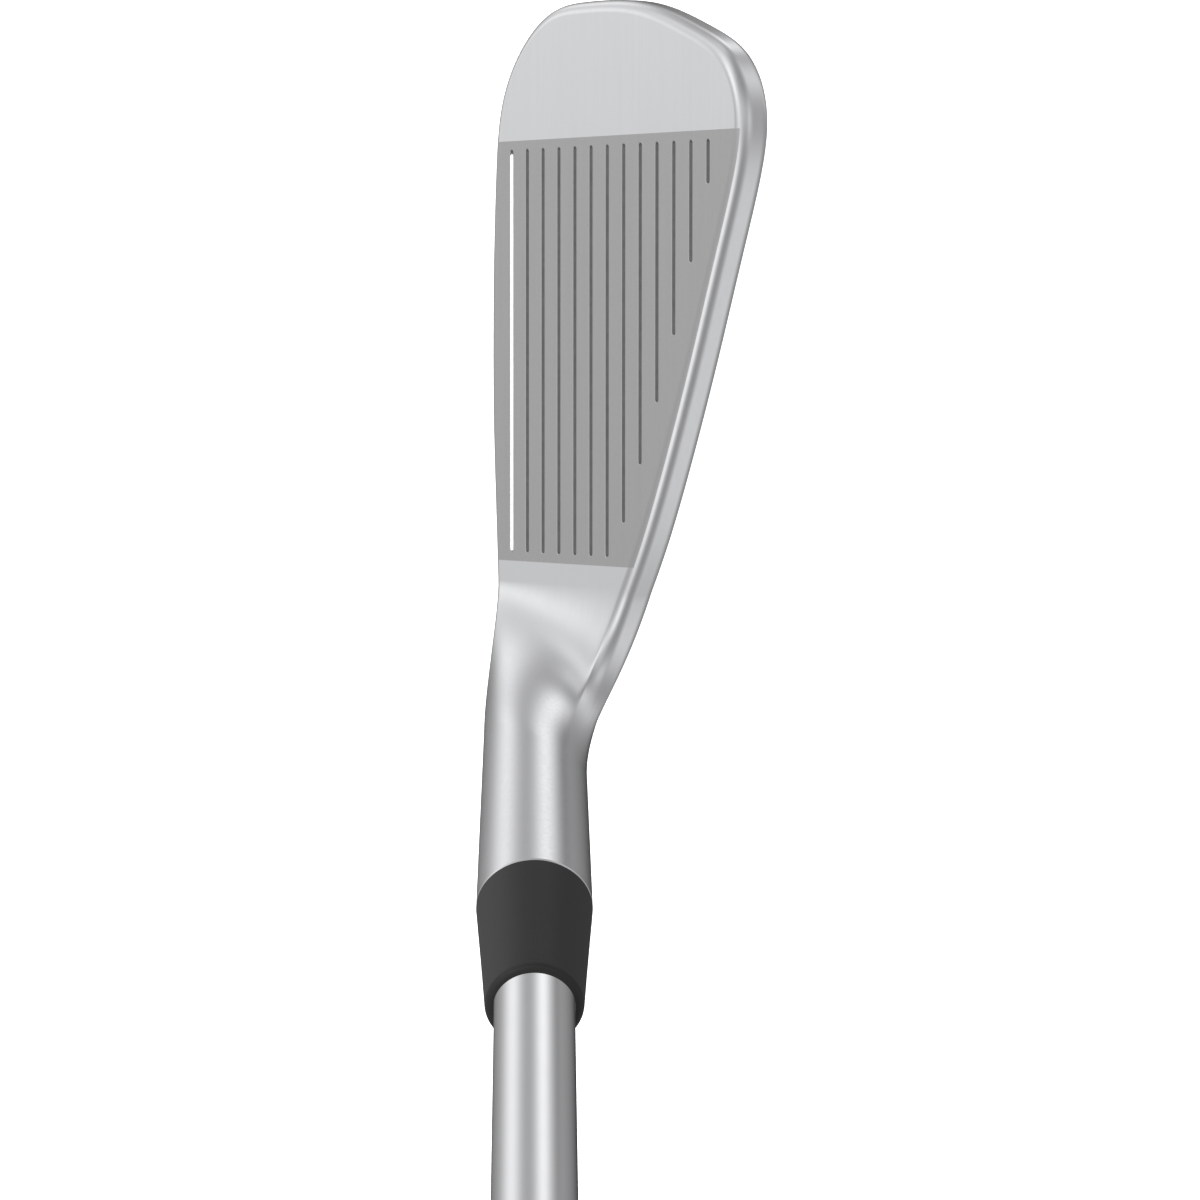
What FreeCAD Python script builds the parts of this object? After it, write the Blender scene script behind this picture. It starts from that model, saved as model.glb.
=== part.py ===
"""Right-handed mid iron golf club, in millimetres.

The origin is the point where the sole touches the ground, below the middle of the score lines.
+Z is up, the face looks towards -Y and leans back, the toe is at -X and the heel at +X.
The shaft axis lies in the plane Y = 0 and meets the ground at X = SHAFT_GROUND_X.
Lengths along the club are measured from there, up the shaft axis.
"""

import FreeCAD, Part
import math
import os

from FreeCAD import Placement, Rotation, Vector

# ---- driving dimensions: set-up angles -------------------------------------------------------
LOFT = math.radians(32.5)        # face plane, from the vertical
LIE = 62.5                       # shaft axis, from the ground, degrees
SHAFT_GROUND_X = 33.9            # where the shaft axis meets the ground
FACE_Y = -2.856                  # the lowest score line's middle
FACE_Z = 6.0

# ---- blade -----------------------------------------------------------------------------------
BLADE_HEEL_X = 29.0              # end of the flat face, where the neck begins
BLADE_TOE_X = -42.4
BLADE_THICKNESS = 4.25           # across the top line and round the toe
FRONT_ROLL = 1.6                 # rounding of the edge round the face
BACK_ROLL = 1.2
SOLE_RADIUS = 25.0               # front to back
SOLE_LENGTH_RADIUS = 350.0       # heel to toe
TRAILING_ROLL = 2.5
TRAILING_Y = 15.4
TOE_LIFT_X = -26.0               # the sole turns up from here to the toe
TOE_LIFT_RADIUS = 17.0
KNEE_UP = 23.0                   # the muscle runs into the thin upper blade here
BLANK_UP = 62.0                  # blade blank, before the outline cuts it

# Top line and toe, as (x, distance up the face from the lowest score line).
OUTLINE = [
    (BLADE_HEEL_X, 27.0), (18.2, 32.3), (6.2, 38.0), (-5.7, 43.3), (-17.4, 47.8), (-25.5, 50.4),
    (-31.6, 49.6), (-36.4, 45.0), (-39.3, 38.4), (-41.4, 30.0), (-42.3, 20.0),
]
STATIONS = [BLADE_HEEL_X, 20.0, 10.0, 0.0, -10.0, -20.0, -26.0, -30.0, -33.0, -36.0, -38.5, -40.5, BLADE_TOE_X]

# ---- score lines -----------------------------------------------------------------------------
GROOVE_PITCH = 3.6
GROOVE_WIDTH = 0.76
GROOVE_DEPTH = 0.45
GROOVE_TOE_X = -24.6
GROOVE_HEEL_X = [25.45] * 7 + [21.2, 14.1, 6.6, -1.4, -10.0, -19.2]
PAINT_RECESS = 0.05

# ---- cavity at the back ----------------------------------------------------------------------
CAVITY_FLOOR = 2.9               # face thickness left over the cavity
CAVITY = [
    (18.0, 13.4), (22.6, 16.6), (21.6, 23.0), (9.0, 29.4), (-6.0, 36.2), (-20.0, 42.0),
    (-28.4, 42.8), (-33.4, 37.4), (-34.6, 30.4), (-31.0, 24.6), (-24.6, 20.4), (-20.4, 14.8), (-14.0, 13.4),
]
BADGE = [
    (16.6, 14.4), (20.6, 17.2), (19.4, 21.4), (8.0, 23.4), (-12.0, 23.4), (-20.0, 20.8), (-18.4, 15.6),
    (-13.4, 14.4),
]
DAMPER_THICKNESS = 1.2
BADGE_THICKNESS = 0.6

# ---- toe weight ------------------------------------------------------------------------------
WEIGHT_X = -30.2
WEIGHT_Z = 13.4
WEIGHT_RADIUS = 3.8
WEIGHT_DEPTH = 6.5
WEIGHT_CHAMFER = 0.4
DRIVE_RADIUS = 1.9
DRIVE_DEPTH = 2.2

# ---- neck and hosel --------------------------------------------------------------------------
NECK_TOP = 40.0
HOSEL_TOP = 66.5
HOSEL_NECK_RADIUS = 6.3
NECK_END_RADIUS = 6.28          # a hair inside the hosel's lower end, so the two join cleanly
HOSEL_TOP_RADIUS = 6.75
NECK_PULL_BLADE = 26.0           # length of the neck curves' tangents at each end
NECK_PULL_HOSEL = 26.0
NECK_RINGS = 9
NECK_START_SHARE = 0.99          # the neck's first ring lies just inside the blade's end
TOP_LINE_SLOPE = -0.5            # the top line's fall towards the heel, in the face plane
SOLE_SLOPE = 0.08
BORE_RADIUS = 4.66
BORE_BOTTOM = 34.5

# ---- shaft -----------------------------------------------------------------------------------
TIP_RADIUS = 4.51                # 0.355 in taper tip
SHAFT_WALL = 0.45
TIP_TAPER = 0.0061               # growth of the diameter per millimetre above the hosel
FIRST_STEP = 240.0
STEP_PITCH = 32.0
STEP_COUNT = 12
STEP_RISE = 0.9                  # length of the short cone at each step
BUTT_RADIUS = 7.62               # 0.600 in butt
SHAFT_BUTT = 934.0
TIP_WEIGHT_LENGTH = 8.0

# ---- ferrule ---------------------------------------------------------------------------------
FERRULE_TOP = 86.6
FERRULE_SHOULDER = 77.0
FERRULE_SHOULDER_RADIUS = 6.13
FERRULE_RIM_RADIUS = 5.65
FERRULE_RIM_ROLL = 0.8
FERRULE_DISH = 0.5               # the end face is dished towards the shaft

# ---- grip ------------------------------------------------------------------------------------
BAND_START = 606.0
BAND_LENGTH = 52.0
BAND_THICKNESS = 0.08
TAPE_THICKNESS = 0.15
GRIP_MOUTH = 672.0
GRIP_MOUTH_RADIUS = 8.4
GRIP_LIP_RADIUS = 8.9
GRIP_LIP_LENGTH = 5.0
GRIP_MID = 885.0
GRIP_MID_RADIUS = 11.45
GRIP_BUTT_RADIUS = 13.25
CAP_BASE = 936.0
CAP_END = 940.0
CAP_RADIUS = 13.4
CAP_DOME = 1.0
CAP_EDGE = 1.5
VENT_RADIUS = 2.0

SHAFT_FRAME = Placement(Vector(SHAFT_GROUND_X, 0, 0), Rotation(Vector(0, 1, 0), 90.0 - LIE))
SHAFT_AXIS = SHAFT_FRAME.Rotation.multVec(Vector(0, 0, 1))
FACE_UP = Vector(0, math.sin(LOFT), math.cos(LOFT))
FACE_IN = Vector(0, math.cos(LOFT), -math.sin(LOFT))
DEEP = 40.0                      # any length that passes right through the blade
CLEARANCE = 1.0                  # how far a cut starts outside the skin
NECK_SPOKES = 60                 # points round each ring of the neck
TOE_FOOT_STEP = 0.1              # how far the cut outline leans out below the toe
GRIP_LIP_STEP = 1.0              # length of the short cone behind the grip's mouth lip
NARROW_START = 6.0               # where the sole begins to narrow toward the heel
NARROW_LENGTH = 26.0
HEEL_NARROWING = 3.2


# ---- helpers ---------------------------------------------------------------------------------
def on_face(x, up, deep=0.0):
    """A point at x, a distance up the face from the lowest score line, and a depth behind it."""
    return Vector(x, FACE_Y, FACE_Z) + FACE_UP * up + FACE_IN * deep


def arc(start, middle, end):
    return Part.Arc(start, middle, end).toShape()


def line(start, end):
    return Part.makeLine(start, end)


def smooth_curve(points, closed=False):
    curve = Part.BSplineCurve()
    curve.interpolate(Points=points, PeriodicFlag=closed)
    return curve.toShape()


def turned(profile):
    """A solid of revolution about the shaft axis, from (distance along the shaft, radius) corners."""
    corners = [Vector(radius, 0, height) for height, radius in profile]
    face = Part.Face(Part.makePolygon(corners + corners[:1]))
    solid = face.revolve(Vector(0, 0, 0), Vector(0, 0, 1), 360)
    solid.Placement = SHAFT_FRAME
    return solid


def plate(outline, low, high):
    """A closed outline in the face plane, made solid between two depths behind the face."""
    wire = Part.Wire(smooth_curve([on_face(x, up, low) for x, up in outline], closed=True))
    return Part.Face(wire).extrude(FACE_IN * (high - low))


# ---- blade sections --------------------------------------------------------------------------
def sole_lift(x):
    """Height of the sole above its lowest point, at a station along the blade."""
    lift = x * x / (2 * SOLE_LENGTH_RADIUS)
    beyond = TOE_LIFT_X - x
    if beyond > 0:
        lift += TOE_LIFT_RADIUS - math.sqrt(TOE_LIFT_RADIUS ** 2 - beyond ** 2)
    return lift


def trailing_edge(x):
    """Y of the trailing edge at a station: it comes in toward the face near the heel."""
    share = min(max((x - NARROW_START) / NARROW_LENGTH, 0.0), 1.0)
    return TRAILING_Y - HEEL_NARROWING * share * share * (3 - 2 * share)


def section_edges(x, top):
    """Edges of the blade's section at x: face, front roll, sole, trailing roll, muscle, upper back."""
    sole_centre = Vector(x, 0, SOLE_RADIUS + sole_lift(x))
    base = on_face(x, 0, FRONT_ROLL) - sole_centre
    along = base.dot(FACE_UP)
    reach = SOLE_RADIUS - FRONT_ROLL
    up = -along - math.sqrt(along ** 2 - base.dot(base) + reach ** 2)
    front_centre = on_face(x, up, FRONT_ROLL)
    face_foot = on_face(x, up)
    to_sole = (front_centre - sole_centre).normalize()
    front_middle = front_centre + (to_sole - FACE_IN).normalize() * FRONT_ROLL
    sole_front = sole_centre + to_sole * SOLE_RADIUS

    reach = SOLE_RADIUS - TRAILING_ROLL
    back_y = trailing_edge(x) - TRAILING_ROLL
    back_centre = sole_centre + Vector(0, back_y, -math.sqrt(reach ** 2 - back_y ** 2))
    to_back = (back_centre - sole_centre).normalize()
    sole_back = sole_centre + to_back * SOLE_RADIUS
    sole_middle = sole_centre + (to_sole + to_back).normalize() * SOLE_RADIUS

    knee = on_face(x, KNEE_UP + sole_lift(x), BLADE_THICKNESS)
    to_knee = knee - back_centre
    swing = math.asin(TRAILING_ROLL / to_knee.Length)
    muscle = Rotation(Vector(1, 0, 0), math.degrees(swing)).multVec(to_knee).normalize()
    outward = Vector(0, muscle.z, -muscle.y)
    muscle_foot = back_centre + outward * TRAILING_ROLL
    trailing_middle = back_centre + (to_back + outward).normalize() * TRAILING_ROLL

    return [
        line(on_face(x, top), face_foot),
        arc(face_foot, front_middle, sole_front),
        arc(sole_front, sole_middle, sole_back),
        arc(sole_back, trailing_middle, muscle_foot),
        line(muscle_foot, knee),
        line(knee, on_face(x, top, BLADE_THICKNESS)),
        line(on_face(x, top, BLADE_THICKNESS), on_face(x, top)),
    ]


def blade():
    blank = Part.makeLoft([Part.Wire(section_edges(x, BLANK_UP)) for x in STATIONS], True)
    corners = [on_face(x, up, -CLEARANCE) for x, up in OUTLINE]
    toe_foot = on_face(OUTLINE[-1][0] - TOE_FOOT_STEP, -DEEP, -CLEARANCE)
    heel_foot = on_face(BLADE_HEEL_X, -DEEP, -CLEARANCE)
    outline = Part.Wire([
        smooth_curve(corners),
        line(corners[-1], toe_foot),
        line(toe_foot, heel_foot),
        line(heel_foot, corners[0]),
    ])
    return blank.common(Part.Face(outline).extrude(FACE_IN * DEEP)).Solids[0]


# ---- neck ------------------------------------------------------------------------------------
def neck_start():
    """Points round the blade's section where the neck begins, from the middle of the top line."""
    top = OUTLINE[0][1]
    ring = Part.Wire(section_edges(BLADE_HEEL_X, top))
    points = ring.discretize(Number=NECK_SPOKES + 1)[:-1]
    middle = on_face(BLADE_HEEL_X, top, BLADE_THICKNESS / 2)
    first = min(range(len(points)), key=lambda index: (points[index] - middle).Length)
    centre = sum(points, Vector()) * (1 / len(points))
    inset = [centre + (point - centre) * NECK_START_SHARE for point in points]
    return inset[first:] + inset[:first]


def neck_ring(start_points, t):
    """Points of one ring round the neck, with t from 0 at the blade to 1 at the hosel."""
    count = len(start_points)
    points = []
    for index, start in enumerate(start_points):
        angle = 2 * math.pi * index / count
        spoke = Vector(-math.cos(angle), -math.sin(angle), 0) * NECK_END_RADIUS
        end = SHAFT_FRAME.multVec(spoke + Vector(0, 0, NECK_TOP))
        height = (start - on_face(start.x, 0)).dot(FACE_UP) / OUTLINE[0][1]
        share = min(max(height, 0.0), 1.0)
        slope = SOLE_SLOPE + (TOP_LINE_SLOPE - SOLE_SLOPE) * share
        leave = (Vector(1, 0, 0) + FACE_UP * slope) * NECK_PULL_BLADE
        arrive = SHAFT_AXIS * NECK_PULL_HOSEL
        point = start * (2 * t ** 3 - 3 * t ** 2 + 1) + leave * (t ** 3 - 2 * t ** 2 + t)
        point += end * (3 * t ** 2 - 2 * t ** 3) + arrive * (t ** 3 - t ** 2)
        points.append(point)
    return points


def neck():
    """A smooth skin from the blade's heel section to the round hosel, closed by two flat ends."""
    start_points = neck_start()
    rings = [neck_ring(start_points, index / (NECK_RINGS - 1)) for index in range(NECK_RINGS)]
    skin = Part.BSplineSurface()
    skin.interpolate([list(row) for row in zip(*[ring + ring[:1] for ring in rings])])
    skin.setUPeriodic()
    side = skin.toShape()
    ends = [Part.Face(Part.Wire(edge)) for edge in side.Edges if edge.isClosed()]
    shell = Part.makeShell([side] + ends)
    shell.sewShape()
    return Part.makeSolid(Part.Shell(shell.Faces))


# ---- score lines -----------------------------------------------------------------------------
def groove(number, low, high):
    """One score line between two depths: a straight slot with round ends."""
    up = number * GROOVE_PITCH
    half = GROOVE_WIDTH / 2
    toe = GROOVE_TOE_X + half
    heel = GROOVE_HEEL_X[number] - half
    slot = Part.Wire([
        line(on_face(toe, up - half, low), on_face(heel, up - half, low)),
        arc(on_face(heel, up - half, low), on_face(heel + half, up, low), on_face(heel, up + half, low)),
        line(on_face(heel, up + half, low), on_face(toe, up + half, low)),
        arc(on_face(toe, up + half, low), on_face(toe - half, up, low), on_face(toe, up - half, low)),
    ])
    return Part.Face(slot).extrude(FACE_IN * (high - low))


# ---- pieces ----------------------------------------------------------------------------------
def toe_weight_frame():
    """Where the toe weight's outer end lies on the muscle, with Z along its axis, outwards."""
    muscle = section_edges(WEIGHT_X, BLANK_UP)[4]
    foot, knee = [vertex.Point for vertex in muscle.Vertexes]
    share = (WEIGHT_Z - foot.z) / (knee.z - foot.z)
    rise = (knee - foot).normalize()
    outward = Vector(0, rise.z, -rise.y)
    return Placement(foot + (knee - foot) * share, Rotation(Vector(0, 0, 1), outward))


def toe_weight():
    plug = Part.makeCylinder(WEIGHT_RADIUS, WEIGHT_DEPTH, Vector(0, 0, -WEIGHT_DEPTH))
    rim = [edge for edge in plug.Edges if abs(edge.CenterOfMass.z) < 1e-6]
    plug = plug.makeChamfer(WEIGHT_CHAMFER, rim)
    angles = [math.radians(60 * index) for index in range(7)]
    corners = [Vector(math.cos(a) * DRIVE_RADIUS, math.sin(a) * DRIVE_RADIUS, -DRIVE_DEPTH) for a in angles]
    drive = Part.Face(Part.makePolygon(corners)).extrude(Vector(0, 0, DEEP))
    plug = plug.cut(drive)
    plug.Placement = toe_weight_frame()
    return plug.Solids[0]


def club_head():
    hosel = turned([(NECK_TOP, 0), (NECK_TOP, HOSEL_NECK_RADIUS), (HOSEL_TOP, HOSEL_TOP_RADIUS), (HOSEL_TOP, 0)])
    head = blade().fuse([neck(), hosel])
    bore = turned([(BORE_BOTTOM, 0), (BORE_BOTTOM, BORE_RADIUS), (DEEP * 2, BORE_RADIUS), (DEEP * 2, 0)])
    weight_hole = Part.makeCylinder(WEIGHT_RADIUS, WEIGHT_DEPTH + DEEP, Vector(0, 0, -WEIGHT_DEPTH))
    weight_hole.Placement = toe_weight_frame()
    grooves = [groove(number, -CLEARANCE, GROOVE_DEPTH) for number in range(len(GROOVE_HEEL_X))]
    cavity = plate(CAVITY, CAVITY_FLOOR, DEEP)
    return head.cut([bore, weight_hole, cavity] + grooves).Solids[0]


def hosel_epoxy():
    return turned([
        (BORE_BOTTOM, TIP_RADIUS), (BORE_BOTTOM, BORE_RADIUS), (HOSEL_TOP, BORE_RADIUS), (HOSEL_TOP, TIP_RADIUS),
    ])


def taper_radius(height):
    return TIP_RADIUS + (height - HOSEL_TOP) * TIP_TAPER / 2


def shaft_outside():
    """The shaft's outer line, from the tip to the butt."""
    profile = [(BORE_BOTTOM, TIP_RADIUS), (HOSEL_TOP, TIP_RADIUS)]
    radius = taper_radius(FIRST_STEP)
    growth = (BUTT_RADIUS - radius) / STEP_COUNT
    for step in range(STEP_COUNT):
        height = FIRST_STEP + step * STEP_PITCH
        profile.append((height, radius))
        radius += growth
        profile.append((height + STEP_RISE, radius))
    profile.append((SHAFT_BUTT, BUTT_RADIUS))
    return profile


def shaft():
    outside = shaft_outside()
    inside = [(height, radius - SHAFT_WALL) for height, radius in reversed(outside)]
    return turned(outside + inside)


def tip_weight():
    inner = TIP_RADIUS - SHAFT_WALL
    top = BORE_BOTTOM + TIP_WEIGHT_LENGTH
    return turned([(BORE_BOTTOM, 0), (BORE_BOTTOM, inner), (top, inner), (top, 0)])


def ferrule():
    rim_low = FERRULE_TOP - FERRULE_RIM_ROLL
    return turned([
        (HOSEL_TOP, TIP_RADIUS), (HOSEL_TOP, HOSEL_TOP_RADIUS), (FERRULE_SHOULDER, FERRULE_SHOULDER_RADIUS),
        (rim_low, FERRULE_RIM_RADIUS), (FERRULE_TOP, FERRULE_RIM_RADIUS - FERRULE_RIM_ROLL),
        (FERRULE_TOP - FERRULE_DISH, taper_radius(FERRULE_TOP - FERRULE_DISH)),
    ])


def shaft_band():
    top = BAND_START + BAND_LENGTH
    outer = BUTT_RADIUS + BAND_THICKNESS
    return turned([(BAND_START, BUTT_RADIUS), (BAND_START, outer), (top, outer), (top, BUTT_RADIUS)])


def grip_tape():
    outer = BUTT_RADIUS + TAPE_THICKNESS
    return turned([(GRIP_MOUTH, BUTT_RADIUS), (GRIP_MOUTH, outer), (SHAFT_BUTT, outer), (SHAFT_BUTT, BUTT_RADIUS)])


def grip_sleeve():
    bore = BUTT_RADIUS + TAPE_THICKNESS
    lip_end = GRIP_MOUTH + GRIP_LIP_LENGTH
    return turned([
        (GRIP_MOUTH, bore), (GRIP_MOUTH, GRIP_LIP_RADIUS), (lip_end, GRIP_LIP_RADIUS),
        (lip_end + GRIP_LIP_STEP, GRIP_MOUTH_RADIUS), (GRIP_MID, GRIP_MID_RADIUS), (CAP_BASE, GRIP_BUTT_RADIUS),
        (CAP_BASE, bore),
    ])


def grip_cap():
    edge = CAP_END - CAP_EDGE
    neck_radius = BUTT_RADIUS + TAPE_THICKNESS
    return turned([
        (SHAFT_BUTT, VENT_RADIUS), (SHAFT_BUTT, neck_radius), (CAP_BASE, neck_radius), (CAP_BASE, CAP_RADIUS),
        (edge, CAP_RADIUS), (CAP_END - CAP_DOME / 2, CAP_RADIUS - CAP_EDGE), (CAP_END, VENT_RADIUS),
    ])


PIECES = {
    "club_head": club_head,
    "leading_groove_paint": lambda: groove(0, PAINT_RECESS, GROOVE_DEPTH),
    "toe_weight": toe_weight,
    "cavity_damper": lambda: plate(BADGE, CAVITY_FLOOR, CAVITY_FLOOR + DAMPER_THICKNESS),
    "cavity_badge": lambda: plate(
        BADGE, CAVITY_FLOOR + DAMPER_THICKNESS, CAVITY_FLOOR + DAMPER_THICKNESS + BADGE_THICKNESS),
    "hosel_epoxy": hosel_epoxy,
    "tip_weight": tip_weight,
    "ferrule": ferrule,
    "shaft": shaft,
    "shaft_band": shaft_band,
    "grip_tape": grip_tape,
    "grip_sleeve": grip_sleeve,
    "grip_cap": grip_cap,
}

os.makedirs("parts", exist_ok=True)
for name, make in PIECES.items():
    shape = make()
    box = shape.BoundBox
    print(name, shape.ShapeType, len(shape.Solids), shape.isValid(), round(shape.Volume, 1),
          [round(value, 2) for value in (box.XMin, box.YMin, box.ZMin, box.XMax, box.YMax, box.ZMax)])
    shape.exportStep("parts/" + name + ".step")
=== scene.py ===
import math

import bmesh
import bpy
import numpy as np
from mathutils import Matrix, Vector
from mathutils.geometry import delaunay_2d_cdt


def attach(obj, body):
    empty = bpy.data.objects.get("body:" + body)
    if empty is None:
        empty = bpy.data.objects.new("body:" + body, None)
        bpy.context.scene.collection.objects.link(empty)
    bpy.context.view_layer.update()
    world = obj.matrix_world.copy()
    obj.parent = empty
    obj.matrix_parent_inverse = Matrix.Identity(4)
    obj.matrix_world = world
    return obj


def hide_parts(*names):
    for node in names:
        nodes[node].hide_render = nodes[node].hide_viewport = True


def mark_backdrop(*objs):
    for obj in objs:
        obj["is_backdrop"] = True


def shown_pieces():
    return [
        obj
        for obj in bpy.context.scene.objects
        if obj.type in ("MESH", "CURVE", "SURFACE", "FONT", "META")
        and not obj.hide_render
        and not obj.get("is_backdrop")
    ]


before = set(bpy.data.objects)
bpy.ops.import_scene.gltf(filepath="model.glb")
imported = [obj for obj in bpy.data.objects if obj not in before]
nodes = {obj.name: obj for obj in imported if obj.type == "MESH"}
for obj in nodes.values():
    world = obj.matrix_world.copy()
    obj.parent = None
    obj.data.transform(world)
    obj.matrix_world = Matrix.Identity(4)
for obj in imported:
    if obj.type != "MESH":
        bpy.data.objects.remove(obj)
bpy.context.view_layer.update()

# All lengths are in millimetres until a mesh is made. X runs from toe to heel, Z is up, the face looks to -Y.
MM = 0.001
LOFT = math.radians(32.5)
LIE = math.radians(62.5)
SIN_LOFT, COS_LOFT = math.sin(LOFT), math.cos(LOFT)
FACE_Y, FACE_Z = -2.856, 6.0
FACE_UP = np.array([0.0, SIN_LOFT, COS_LOFT])
FACE_IN = np.array([0.0, COS_LOFT, -SIN_LOFT])
SHAFT_FOOT = np.array([33.9, 0.0, 0.0])
AXIS = np.array([math.cos(LIE), 0.0, math.sin(LIE)])
TOEWARD = np.array([-math.sin(LIE), 0.0, math.cos(LIE)])
SIDE = np.array([0.0, 1.0, 0.0])


def on_face(x, up, deep=0.0):
    """Point at x, at a height up the plane of the face and a depth behind it."""
    x, up, deep = np.broadcast_arrays(np.asarray(x, float), up, deep)
    y = FACE_Y + up * SIN_LOFT + deep * COS_LOFT
    z = FACE_Z + up * COS_LOFT - deep * SIN_LOFT
    return np.stack([x, y, z], axis=-1)


def unit(v):
    return v / np.maximum(np.linalg.norm(v, axis=-1, keepdims=True), 1e-12)


def smoothstep(x):
    x = np.clip(x, 0.0, 1.0)
    return x * x * (3 - 2 * x)


def lengths_along(points):
    """Distance from the first point to each one, along the points."""
    return np.concatenate([[0], np.cumsum(np.linalg.norm(np.diff(points, axis=0), axis=1))])


def spline(points, count, closed=False):
    """A cubic spline through a few points, as count points evenly spaced along it."""
    p = np.array(points, float)
    if closed:
        p = np.vstack([p, p[:1]])
    knots = np.concatenate([[0], np.cumsum(np.linalg.norm(np.diff(p, axis=0), axis=1) ** 0.7)])
    n, h = len(p), np.diff(knots)
    a, rhs = np.zeros((n, n)), np.zeros((n, p.shape[1]))
    for i in range(1, n - 1):
        a[i, i - 1], a[i, i], a[i, i + 1] = h[i - 1], 2 * (h[i - 1] + h[i]), h[i]
        rhs[i] = 6 * ((p[i + 1] - p[i]) / h[i] - (p[i] - p[i - 1]) / h[i - 1])
    if closed:
        a[0, 0], a[0, 1], a[0, -2] = 2 * (h[-1] + h[0]), h[0], h[-1]
        rhs[0] = 6 * ((p[1] - p[0]) / h[0] - (p[-1] - p[-2]) / h[-1])
        a[-1, 0], a[-1, -1] = 1, -1
    else:
        a[0, 0] = a[-1, -1] = 1
    m = np.linalg.solve(a, rhs)

    def at(t):
        i = np.clip(np.searchsorted(knots, t, side="right") - 1, 0, n - 2)
        step = h[i][:, None]
        lo, hi = (knots[i + 1] - t)[:, None] / step, (t - knots[i])[:, None] / step
        return lo * p[i] + hi * p[i + 1] + ((lo ** 3 - lo) * m[i] + (hi ** 3 - hi) * m[i + 1]) * step ** 2 / 6

    fine = np.linspace(0, knots[-1], 4000)
    length = lengths_along(at(fine))
    return at(np.interp(np.linspace(0, length[-1], count, endpoint=not closed), length, fine))


def arc(centre, radius, start, end, count):
    """Points on an arc in the (outward, depth) plane; the angle is that of the normal from the face's own."""
    a = np.radians(np.linspace(start, end, count))
    return np.array(centre) + radius * np.stack([np.sin(a), -np.cos(a)], 1)


# ---- meshes with a normal for every corner ---------------------------------------------------
class Skin:
    """Faces collected in millimetres, welded where they meet, with their own corner normals."""

    def __init__(self):
        self.index, self.points, self.faces, self.normals, self.finishes = {}, [], [], [], []

    def corner(self, p):
        key = (round(float(p[0]), 4), round(float(p[1]), 4), round(float(p[2]), 4))
        if key not in self.index:
            self.index[key] = len(self.points)
            self.points.append(key)
        return self.index[key]

    def face(self, points, normals, finish=0):
        ids, kept, seen = [], [], set()
        for p, n in zip(points, normals):
            i = self.corner(p)
            if i not in seen:
                seen.add(i)
                ids.append(i)
                kept.append(np.array(n, float))
        if len(ids) < 3:
            return
        q = np.array([self.points[i] for i in ids])
        turn = np.zeros(3)
        for i in range(len(q)):
            turn += np.cross(q[i], q[(i + 1) % len(q)])
        if np.linalg.norm(turn) < 1e-9:
            return
        if float(np.dot(turn, np.sum(kept, axis=0))) < 0:
            ids.reverse()
            kept.reverse()
        self.faces.append(ids)
        self.normals.extend(kept)
        self.finishes.append(finish)

    def grid(self, p, n, closed=False, finish=0):
        """Quads over p[i, j]; closed joins the last column to the first."""
        rows, columns = p.shape[:2]
        for i in range(rows - 1):
            for j in range(columns if closed else columns - 1):
                k = (j + 1) % columns
                spots = ((i, j), (i + 1, j), (i + 1, k), (i, k))
                self.face([p[s] for s in spots], [n[s] for s in spots], finish)

    def flat(self, points, normal, finish=0):
        self.face(points, [normal] * len(points), finish)

    def make(self, name, finishes):
        mesh = bpy.data.meshes.new(name)
        mesh.from_pydata([tuple(c * MM for c in p) for p in self.points], [], self.faces)
        for finish in finishes:
            mesh.materials.append(finish)
        mesh.polygons.foreach_set("material_index", self.finishes)
        mesh.polygons.foreach_set("use_smooth", [True] * len(self.faces))
        mesh.normals_split_custom_set([tuple(unit(n)) for n in self.normals])
        piece = bpy.data.objects.new(name, mesh)
        bpy.context.scene.collection.objects.link(piece)
        return piece


def slopes(p, axis, closed=False):
    """Directions along a grid, from each point's two neighbours, the nearer one counting less."""
    if closed:
        ahead, behind = np.roll(p, -1, axis) - p, p - np.roll(p, 1, axis)
        return ahead + behind
    return np.gradient(p, axis=axis)


def grid_normals(p, sign=1.0, closed=False):
    return unit(sign * np.cross(slopes(p, 0), slopes(p, 1, closed)))


# ---- club head -------------------------------------------------------------------------------
# The flat of the face, from the heel end of the top line round the toe to the heel end of the leading edge.
FACE_EDGE = [
    (29.0, 24.45), (23.1, 28.05), (12.2, 33.55), (0.2, 38.9), (-11.6, 43.8), (-20.0, 47.2), (-25.4, 48.55),
    (-29.0, 48.2), (-31.9, 46.7), (-34.2, 44.1), (-36.7, 38.3), (-39.1, 30.8), (-40.25, 24.0), (-40.52, 15.5),
    (-39.95, 9.0), (-37.4, 3.95), (-33.0, -0.2), (-28.3, -2.25), (-21.0, -3.15), (-11.0, -3.65), (-1.0, -3.8),
    (9.0, -3.7), (19.0, -3.2), (29.0, -2.66),
]
EDGE_COUNT = 300
THICKNESS = 4.25
FRONT_ROLL, BACK_ROLL = 1.6, 1.2
SOLE_RADIUS, SOLE_FACE_FOOT = 25.0, -3.88
TRAILING_ROLL, TRAILING_Y, TRAILING_HEEL_Y = 2.5, 15.4, 12.2
SOLE_BEGINS_UP, SOLE_FULL_X, LOW_EDGE = 22.0, -20.0, 5.0
NARROW_START, NARROW_LENGTH = 6.0, 26.0
KNEE_UP, KNEE_SOFTNESS = 23.0, 0.35
ROLL_STEPS, WALL_STEPS, BACK_STEPS = 11, 9, 10

CAVITY_FLOOR = 2.9
CAVITY = [
    (18.0, 13.4), (22.6, 16.6), (21.6, 23.0), (9.0, 29.4), (-6.0, 36.2), (-20.0, 42.0), (-28.4, 42.8),
    (-33.4, 37.4), (-34.6, 30.4), (-31.0, 24.6), (-24.6, 20.4), (-20.4, 14.8), (-14.0, 13.4),
]
CAVITY_MIDDLE = np.array([-6.0, 24.0])

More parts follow.
